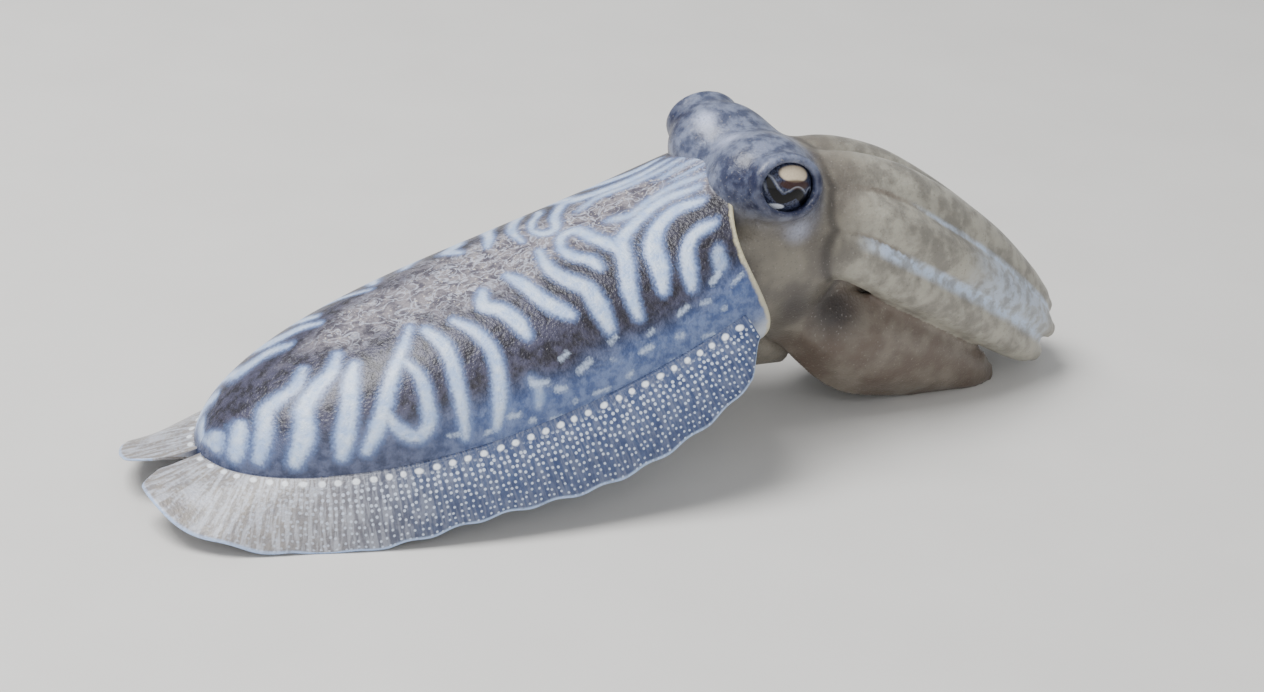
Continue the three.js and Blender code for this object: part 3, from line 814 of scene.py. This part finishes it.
def mantle_paint():
    skin = Paint("mantle_skin", **WET, **FLESH)
    add, step, times = skin.add, skin.step, skin.times
    at = skin.place()
    along, up, edge = skin.axes("place")
    noises = skin.noise(at, 0.55), skin.noise(at, 2.2, 3.0, 0.6), skin.noise(at, 9.0)
    fine, lumps, _ = noises
    wobble = add(times(add(fine, -0.5), 1.1), times(add(lumps, -0.5), 1.0))
    gap, bright = add(skin.attribute("band"), wobble), skin.attribute("bright")
    core = times(step(gap, 0.3, -1.0), bright)
    base = skin.over(
        flank_paint(skin, along, up, noises),
        (BAND_HALO, times(step(gap, 1.3, -0.4), times(bright, 0.85))),
        (skin.mottled(lumps, BAND_CORE, 0.3, 0.7), core),
        (DASH, times(step(add(skin.attribute("dash"), wobble), 0.5, -0.6), 0.8)),
        (BELLY, step(up, 0, -6)),
        (COLLAR_RIM, times(step(skin.sway(edge, lumps, 1.2), 0.9, 0.1), 0.85)),
        (COLLAR_INSIDE, step(edge, -1.6, -3.2)),
        (web_paint(skin, noises), skin.attribute("is_fin")),
    )
    return skin.finish(base, add(times(fine, 0.5), add(times(lumps, 0.5), times(core, 0.5))), 0.35)


# Colours of the head and arms
HEAD_SKIN = (104, 98, 90), (130, 124, 112)
ARM_SKIN = (126, 122, 113), (168, 164, 151)
# Painted light: the head's top is coloured bluer, as lit by cool light from above
LIT_HEAD_TOP = (66, 73, 98), (120, 128, 152)
# Painted shade: the lowest arms, and the grooves at the arms' roots, darkened brown as out of the light
LOWEST_ARM_SHADE = (94, 80, 69)
# Painted shade: under the crown and in the crease where the arms leave the head
CREASE_SHADE = (46, 40, 40)
ROUND_EYE = (24, 30, 62)
PALE_SPOTS = (186, 194, 222)
# Painted highlight: bluish-white light caught along the arms' ridges
RIDGE_HIGHLIGHTS = (190, 206, 230)
SPECKS = (176, 170, 164)
PITS = (60, 54, 56)


def head_paint():
    skin = Paint("head_skin", **(WET | {"Roughness": 0.42}), **FLESH)
    step, times, mottled = skin.step, skin.times, skin.mottled
    at = skin.place()
    fine, lumps, broad = skin.noise(at, 0.5), skin.noise(at, 2.6, 3.0, 0.55), skin.noise(at, 7.0)

    def marked(name, noise, *steps):
        return times(skin.attribute(name), step(noise, *steps))

    both = skin.add(times(lumps, 0.5), times(broad, 0.5))
    base = skin.over(
        mottled(broad, HEAD_SKIN),
        (mottled(both, ARM_SKIN, 0.38, 0.62), skin.attribute("arm")),
        # painted light on the head's top
        (mottled(lumps, LIT_HEAD_TOP), skin.attribute("lit_top")),
        # painted shade on the lowest arms and in the grooves at the arms' roots
        (LOWEST_ARM_SHADE, marked("lowest", broad, 0.3, 0.7, 1.0, 0.7)),
        # painted shade under the crown and in the crease between head and arms
        (CREASE_SHADE, times(skin.attribute("crease_shade"), 0.85)),
        (ROUND_EYE, marked("round_eye", lumps, 0.35, 0.6, 1.0, 0.7)),
        (PALE_SPOTS, marked("pale", fine, 0.3, 0.6, 0.7, 1.0)),
        # painted highlights along the arms
        (RIDGE_HIGHLIGHTS, marked("ridge_highlight", lumps, 0.38, 0.6, 0.35, 1.0)),
        (SPECKS, times(step(fine, 0.62, 0.75), 0.3)),
        (PITS, times(step(fine, 0.38, 0.27), 0.3)),
    )
    return skin.finish(base, skin.add(times(fine, 0.4), times(lumps, 0.6)), 0.3)


# Marks on the head, as a middle and radii in its frame. The first two are on both sides
EYE_RING = (10.5, 9, 9.5)  # the radii of the dark skin round the eye
BEFORE_EYE = ((12, -11, 21), (5, 7, 7))
BRIGHT_SPOT = ((13, -12.5, 20), (1.3, 3, 1.3))
CHEEK_SPOT = ((9, -16, 12.5), (5, 5, 4))
TOP_SPOTS = [((-2.5, -3, 25), (4.5, 5, 5)), ((-4.5, 6, 27), (4, 4, 4))]
CROWN_SHADE = ((5, 10, 7.5), (11, 14, 8))  # where the arms leave the head, in the crown's frame


def head_marks(vertices):
    """How much of each mark every vertex has, from 0 to 1."""
    local, crown = HEAD.local(vertices), CROWN.local(vertices)
    as_right = np.where(local[:, 1:2] < 0, local, local * (1, -1, 1))
    gaps = np.stack([arm.distance(vertices) for arm in arms], 1)
    sections = [arm.section_of(vertices) for arm in arms]
    pick = np.arange(len(vertices)), gaps.argmin(axis=1)
    number = np.array([arm.number for arm in arms])[pick[1]]
    share = np.stack([section[0] for section in sections], 1)[pick]
    across = np.stack([section[2] for section in sections], 1)[pick]
    first, second = np.sort(gaps, axis=1)[:, :2].T
    on_arm = smooth(2.5, 0.5, first) * smooth(-6, 4, crown[:, 0])
    groove = smooth(1.3, 0.3, second - first) * on_arm
    eyes = np.stack([eye_frame(side).local(vertices) for side in (RIGHT, LEFT)])
    from_eye = norm(eyes / EYE_RING, axis=2).min(axis=0)
    round_eye = smooth(1.3, 0.85, from_eye) * smooth(15, 19, as_right[:, 2]) * smooth(28, 24, as_right[:, 2])
    pale = [near(as_right, *BRIGHT_SPOT), 0.5 * near(as_right, *CHEEK_SPOT)]
    pale += [near(local, *spot) for spot in TOP_SPOTS]
    # Painted shade under the crown, and along the crease where the head meets the arms
    shade = near(np.abs(crown), *CROWN_SHADE) * smooth(-1, -4, crown[:, 2]) * 1.3
    crease_shade = smooth(1.6, 0.2, np.abs(head_distance(vertices) - first)) * smooth(-8, 0, crown[:, 2])
    # Painted highlights: along arm III's upper edge, in pale lines along the grooves of the upper arms, and
    # on the second arms' outer lengths
    ridge_highlight = (number == 3) * on_arm * smooth(1.5, 3.4, across) * smooth(0.16, 0.26, share)
    line = groove * smooth(0.3, 0.45, share) * (number < 3)
    tips = (number == 2) * on_arm * smooth(0.5, 0.7, share) * smooth(1, 0.9, share) * 0.7
    return {
        "arm": on_arm,
        # painted shade: the lowest arms, and the grooves between the arms near their roots
        "lowest": clamp((number == LEAF_ARM) * on_arm + 0.6 * groove * (share < 0.35)),
        "round_eye": clamp(round_eye + near(as_right, *BEFORE_EYE)),
        "pale": clamp(np.max(pale, axis=0)),
        # painted light: the head's top, as lit from above
        "lit_top": smooth(10, 20, local[:, 2]) * (1 - on_arm) * smooth(17, 12, local[:, 0]),
        "crease_shade": clamp(shade + 0.8 * crease_shade * smooth(14, 8, np.abs(crown[:, 0]))),
        "ridge_highlight": clamp(ridge_highlight + 0.8 * line + tips),
    }


def build_head():
    vertices, faces = head_mesh()
    made = make_object("head_skin", vertices, faces, head_marks(vertices), head_paint())
    arm_nodes = [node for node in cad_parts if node.startswith("arm_")]
    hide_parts("head", "funnel", *arm_nodes)
    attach(made, "root")


OFF_MANTLE = (0, -1, 60)  # the place given where the skin is a fin's
OFF_FIN = (0, -1, 0)  # and the other way round


def join(body, others):
    """Makes one closed mesh of a body and other pieces, and removes those."""
    for other in others:
        union = body.modifiers.new("join", "BOOLEAN")
        union.operation = "UNION"
        union.solver = "MANIFOLD"
        union.object = other
    depsgraph = bpy.context.evaluated_depsgraph_get()
    depsgraph.update()
    mesh = bpy.data.meshes.new_from_object(body.evaluated_get(depsgraph))
    body.modifiers.clear()
    body.data = mesh
    for other in others:
        bpy.data.objects.remove(other)


def nearest(sources, places):
    """Which of the sources is nearest to each place."""
    tree = kdtree.KDTree(len(sources))
    for index, source in enumerate(sources):
        tree.insert(source, index)
    tree.balance()
    return np.array([tree.find(place)[1] for place in places])


def build_mantle():
    paint = mantle_paint()
    vertices, faces, share, angle, edge = mantle_mesh()
    vertices[:, 2] = settle(vertices[:, 2], CLEARANCE)
    body = make_object("mantle_skin", vertices, faces, {}, paint)
    fins = [fin_mesh(side) for side in (RIGHT, LEFT)]
    join(body, [make_object("fin", points, fin_faces, {}, paint) for points, fin_faces, _ in fins])
    # each place takes its markings from the nearest of the forms that were joined
    count = len(vertices)
    found = nearest(np.concatenate([vertices] + [fin[0] for fin in fins]), places_of(body.data))
    on_fin = found >= count
    on_mantle = np.minimum(found, count - 1)
    mantle_place = np.stack([share * MANTLE_LENGTH, flank_height(share, angle), edge], 1)
    fin_place = np.concatenate([fin[2] for fin in fins])
    place = np.where(on_fin[:, None], OFF_MANTLE, mantle_place[on_mantle])
    sides = np.where(on_fin, 0, np.where(np.cos(angle) >= 0, LEFT, RIGHT)[on_mantle])
    band, bright, dash = (np.full(len(found), value) for value in (NO_BAND, 0.0, NO_BAND))
    for side, shift in ((RIGHT, 0.0), (LEFT, 1.0)):
        chosen = np.flatnonzero(sides == side)
        along, up = place[chosen, 0], place[chosen, 1]
        band[chosen], bright[chosen] = band_distance(along, up, shift)
        dash[chosen] = dash_distance(along, up, shift)
    fin = np.where(on_fin[:, None], fin_place[np.clip(found - count, 0, None)], OFF_FIN)
    marks = {"place": place, "fin": fin, "is_fin": on_fin, "band": band, "bright": bright, "dash": dash}
    add_attributes(body.data, marks)
    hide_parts("mantle", "fin_right", "fin_left")
    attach(body, "root")


# Eyes, with marks placed along and up from the middle of each
EYE_ROWS = 120
EYE_COLUMNS = 160
# The pupil is a W: a band that dips twice, and rises at both ends and in the middle
PUPIL = [(-4.8, 1.4), (-3.5, -1), (-1.8, -2.3), (0, -1.7), (1.3, -1), (2.8, -1.8), (4, -2.8), (4.8, -0.6)]
LOBE = ((0.6, 2.7), (3.2, 1.5))  # the pale skin over the pupil: its middle and radii
BROWN = ((0.8, 0.7), (3.4, 0.9))
SILVER = ((-2.4, -3.9), (1.9, 0.6))
IRIS_COLOURS = (30, 34, 52), (66, 72, 96)
LOBE_COLOURS = (196, 176, 150), (226, 212, 186)
BROWN_COLOUR = (64, 42, 34)
# the silver crescent, also used for a painted highlight round the pupil
SILVER_AND_GLINT_COLOURS = (176, 184, 200), (232, 236, 244)
PUPIL_COLOUR = (4, 4, 7)


def eye_paint():
    eye = Paint("eye", Roughness=0.35, Specular_IOR_Level=0.15, Coat_Weight=0.22, Coat_Roughness=0.05)
    fine = eye.noise(eye.place(), 0.35)
    base = eye.over(
        eye.mottled(fine, IRIS_COLOURS),
        (eye.mix(*LOBE_COLOURS, fine), eye.attribute("lobe")),
        (BROWN_COLOUR, eye.attribute("brown")),
        # the silver crescent and a painted highlight round the pupil
        (eye.mix(*SILVER_AND_GLINT_COLOURS, fine), eye.attribute("silver_and_glint")),
        (PUPIL_COLOUR, eye.step(eye.attribute("pupil"), 0.12, -0.12)),
    )
    return eye.finish(base, fine, 0.03)


def eye_marks(local, side):
    """How much of each mark every vertex has, and how far outside the pupil it lies."""
    along, up = local[:, 0], local[:, 2]

    def off(middle, radii):
        return np.hypot((along - middle[0]) / radii[0], (up - middle[1]) / radii[1])

    line, length = smooth_line(PUPIL, 80)
    half = 0.35 + 0.6 * np.sin(pi * clamp(length / length[-1])) ** 0.7
    pupil = (np.hypot(along[:, None] - line[:, 0], up[:, None] - line[:, 1]) - half).min(axis=1)
    # A painted highlight: a thin glint round the pupil's outline, left off low down
    glint = 0.3 * smooth(0.25, 0.05, np.abs(pupil - 0.4)) * smooth(-1.6, -0.2, up)
    return {
        "pupil": np.where(np.sign(local[:, 1]) == side, pupil, 5),
        "lobe": smooth(1.15, 0.9, off(*LOBE)),
        "brown": smooth(1.3, 0.8, off(*BROWN)) * 0.85,
        "silver_and_glint": np.maximum(smooth(1.1, 0.8, off(*SILVER)), glint),
    }


def build_eye(node, side, paint):
    turn = around(EYE_COLUMNS)
    rings = []
    for row in range(1, EYE_ROWS):
        tilt = pi * row / EYE_ROWS
        out = np.full(EYE_COLUMNS, side * cos(tilt))
        ring = np.stack([np.sin(tilt) * np.cos(turn), out, np.sin(tilt) * np.sin(turn)], 1)
        rings.append(ring * EYE_RADII)
    local, faces = tube(rings, (0, side * EYE_RADII[1], 0), (0, -side * EYE_RADII[1], 0))
    if side == LEFT:
        faces = [face[::-1] for face in faces]
    vertices = eye_frame(side).world(local)
    made = make_object(f"{node}_dressed", vertices, faces, eye_marks(local, side), paint)
    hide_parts(node)
    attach(made, "root")


# Suckers: four staggered rows of stalked cups along each arm's inner side
SUCKER_ROWS = (-36, -13, 13, 36)  # degrees round from the middle of the inner side
SUCKER_COUNT = 26
SUCKER_SPAN = (0.2, 0.97)  # shares of the arm's length where they start and end
SUCKER_SIZE = 0.8
OUTER_SIZE = 0.85  # share of that in the outer rows
LEAF_SPREAD = 0.3  # how much closer together the rows are on the leaf
SUCKER_GAP = 0.5  # what a cup keeps clear of other arms, as a share of its size, and of the web
SUCKER_LOWEST = 0.3
# A cup's outline as shares of its size: out from its middle and up from the skin
CUP = [(0.5, -0.6), (0.62, 0.1), (1, 0.45), (1.02, 0.8), (0.86, 0.95), (0.7, 0.8), (0.55, 0.45), (0.2, 0.35)]
CUP_FOOT = 0.6
CUP_FLOOR = 0.33
CUP_SIDES = 10
SUCKER_COLOURS = (150, 140, 134), (206, 198, 188)


def sucker_places(arm):
    """Where each of an arm's suckers sits, which way is up and forward there, and its size."""
    for row, apart in enumerate(SUCKER_ROWS):
        angle = radians(180 + apart * (LEAF_SPREAD if arm.number == LEAF_ARM else 1))
        for i in range(SUCKER_COUNT):
            share = mix(*SUCKER_SPAN, (i + 0.5 * (row % 2)) / SUCKER_COUNT)
            far = arm.look(share, arm.far) * INNER * cos(angle)
            across = arm.look(share, arm.across)
            skin = arm.look(share, arm.out) * far + arm.look(share, arm.round) * across * sin(angle)
            size = SUCKER_SIZE * (0.35 + 0.65 * taper(share) ** 2) * (OUTER_SIZE if row in (0, 3) else 1)
            up = skin / norm(skin)
            yield arm.look(share, arm.line) + skin, up, arm.look(share, arm.forward), size


def sucker_fits(arm, rim, size):
    """Whether a cup is clear of the other arms, the web and the floor."""
    clear = min(float(other.distance(rim[None])[0]) for other in arms if other is not arm)
    in_web = outside_ball(CROWN.local(rim), *WEB) < SUCKER_GAP
    return clear >= SUCKER_GAP * size and not in_web and rim[2] >= SUCKER_LOWEST


def build_suckers():
    vertices, faces = [], []
    turn = around(CUP_SIDES)
    for arm in arms:
        for at, up, forward, size in sucker_places(arm):
            if not sucker_fits(arm, at + up * size, size):
                continue
            side = np.cross(up, forward)
            side /= norm(side)
            circle = np.cos(turn)[:, None] * side + np.sin(turn)[:, None] * np.cross(side, up)
            rings = [at + size * (wide * circle + high * up) for wide, high in CUP]
            cup, cup_faces = tube(rings, at - CUP_FOOT * size * up, at + CUP_FLOOR * size * up)
            faces.extend([[index + len(vertices) for index in face] for face in cup_faces])
            vertices.extend(cup)
    skin = Paint("suckers", **WET, **FLESH)
    lumps = skin.noise(skin.place(), 0.6)
    material = skin.finish(skin.mix(*SUCKER_COLOURS, lumps), lumps, 0.05)
    made = make_object("suckers", np.array(vertices), faces, {}, material)
    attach(made, "root")


build_mantle()
build_head()
build_suckers()
eye_material = eye_paint()
build_eye("eye_right", RIGHT, eye_material)
build_eye("eye_left", LEFT, eye_material)

# Floor, light and camera, in metres
FLOOR_HALF = 4.0
FLOOR_COLOURS = (214, 212, 208), (224, 222, 218)
LIT = Vector((0, 0, 0.03))  # the middle of the animal
SKY = (0.93, 0.96, 1.0, 1)
SKY_STRENGTH = 0.45
CAMERA_AT = Vector((-0.2409, -0.4562, 0.2761))
CAMERA_AIM = Vector((-0.0065, -0.0168, 0.0275))
CAMERA_ROLL = radians(4.3)
LENS = 82  # millimetres


def build_floor():
    paint = Paint("floor", Roughness=0.85)
    grain = paint.noise(paint.place(), 30, 3.0)
    corners = [(x * FLOOR_HALF, y * FLOOR_HALF, 0) for x, y in ((-1, -1), (1, -1), (1, 1), (-1, 1))]
    mesh = bpy.data.meshes.new("floor")
    mesh.from_pydata(corners, [], [(0, 1, 2, 3)])
    mesh.materials.append(paint.finish(paint.mix(*FLOOR_COLOURS, grain), grain, 0.05))
    add_object("floor", mesh)


def add_light(name, at, size, watts):
    """A soft square light that faces the animal."""
    light = bpy.data.lights.new(name, "AREA")
    light.size = size
    light.energy = watts
    made = add_object(name, light)
    made.location = at
    made.rotation_euler = (LIT - Vector(at)).to_track_quat("-Z", "Y").to_euler()


def add_world():
    world = bpy.data.worlds.new("studio")
    world.use_nodes = True
    background = world.node_tree.nodes["Background"]
    background.inputs["Color"].default_value = SKY
    background.inputs["Strength"].default_value = SKY_STRENGTH
    bpy.context.scene.world = world


def add_camera():
    camera = bpy.data.cameras.new("camera")
    camera.lens = LENS
    camera.clip_start = 0.01
    view = add_object("camera", camera)
    aim = (CAMERA_AIM - CAMERA_AT).to_track_quat("-Z", "Y")
    view.location = CAMERA_AT
    view.rotation_mode = "QUATERNION"
    view.rotation_quaternion = aim @ Quaternion((0, 0, 1), CAMERA_ROLL)
    bpy.context.scene.camera = view


build_floor()
add_light("key", (-0.4, 0.1, 0.9), 0.5, 14)
add_light("fill", (-0.4, -0.9, 0.5), 0.9, 4)
add_world()
add_camera()
